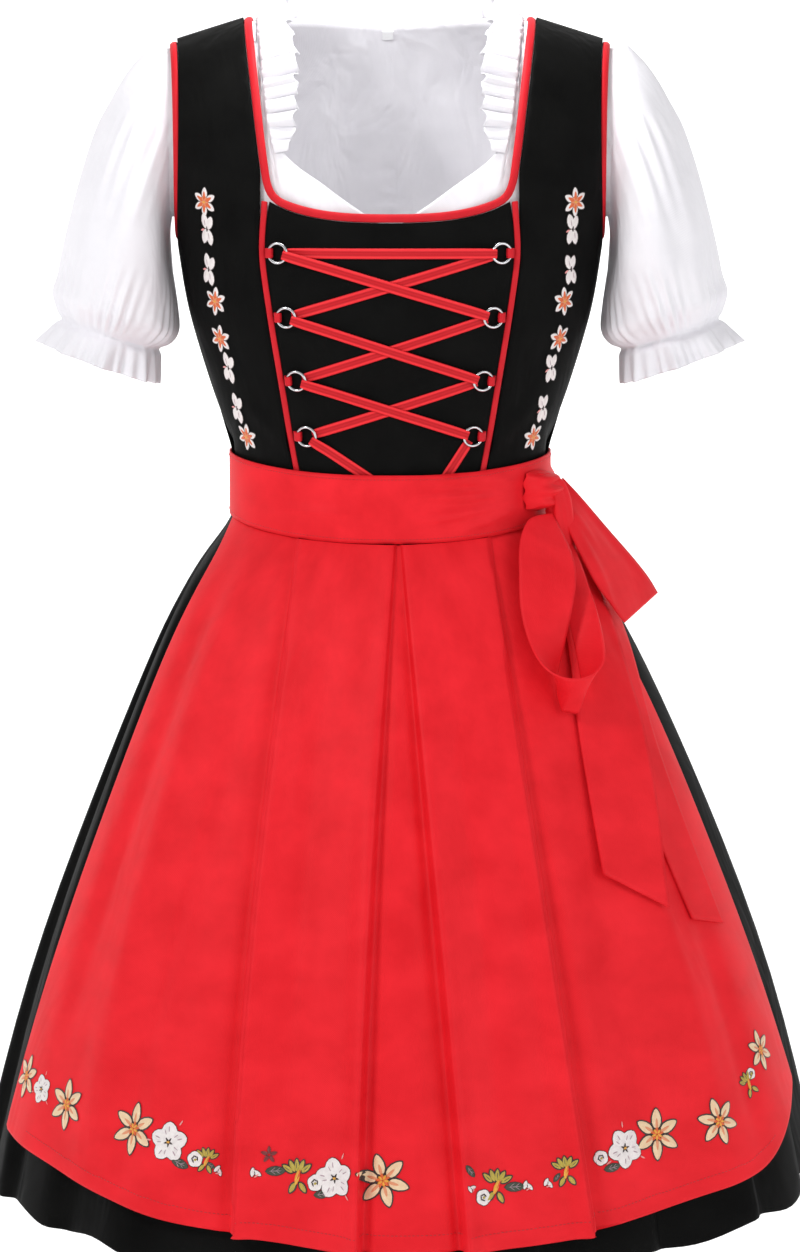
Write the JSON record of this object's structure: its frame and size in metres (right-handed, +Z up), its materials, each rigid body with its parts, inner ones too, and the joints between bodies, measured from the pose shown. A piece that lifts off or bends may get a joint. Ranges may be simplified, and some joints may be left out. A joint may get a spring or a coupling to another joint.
{
  "type": "dirndl dress set",
  "caption": "Short dirndl shown filled out: white puff-sleeve blouse, black laced bodice with pleated skirt, and a red apron with a wide sash tied in a side bow.",
  "frame": {"origin": "midway between the two shoulder seams, where the wearer's shoulders hold the garment up", "axes": "+Z up along the wearer, -Y out of the front, +X to the wearer's left, which is the side of the bow"},
  "size_m": [0.7067, 0.5896, 0.9917],
  "materials": {
    "black_cloth": "matt woven cotton blend",
    "red_cloth": "smooth weave with a slight sheen",
    "trim": "satin bias binding",
    "lacing": "woven ribbon",
    "white_cloth": "light matt cotton",
    "ring_metal": "polished wire"
  },
  "bodies": {
    "root": {"apron_skirt": "red_cloth", "armhole_binding_left": "trim", "armhole_binding_right": "trim", "blouse_back": "white_cloth", "blouse_front_left": "white_cloth", "blouse_front_right": "white_cloth", "bodice_back_left": "black_cloth", "bodice_back_right": "black_cloth", "bodice_centre_front": "black_cloth", "bodice_side_front_left": "black_cloth", "bodice_side_front_right": "black_cloth", "lace_end_left": "lacing", "lace_end_right": "lacing", "lace_over_1": "lacing", "lace_over_2": "lacing", "lace_over_3": "lacing", "lace_top": "lacing", "lace_under_1": "lacing", "lace_under_2": "lacing", "lace_under_3": "lacing", "neck_binding": "trim", "neck_frill_left": "white_cloth", "neck_frill_right": "white_cloth", "princess_piping_left": "trim", "princess_piping_right": "trim", "ring_left_1": "ring_metal", "ring_left_2": "ring_metal", "ring_left_3": "ring_metal", "ring_left_4": "ring_metal", "ring_right_1": "ring_metal", "ring_right_2": "ring_metal", "ring_right_3": "ring_metal", "ring_right_4": "ring_metal", "ring_tab_left_1": "trim", "ring_tab_left_2": "trim", "ring_tab_left_3": "trim", "ring_tab_left_4": "trim", "ring_tab_right_1": "trim", "ring_tab_right_2": "trim", "ring_tab_right_3": "trim", "ring_tab_right_4": "trim", "sash_band": "red_cloth", "sash_knot": "red_cloth", "sash_loop_front": "red_cloth", "sash_loop_side": "red_cloth", "sash_tail_front": "red_cloth", "sash_tail_side": "red_cloth", "size_tab": "white_cloth", "skirt": "black_cloth", "sleeve_left": "white_cloth", "sleeve_right": "white_cloth"}
  },
  "joints": []
}
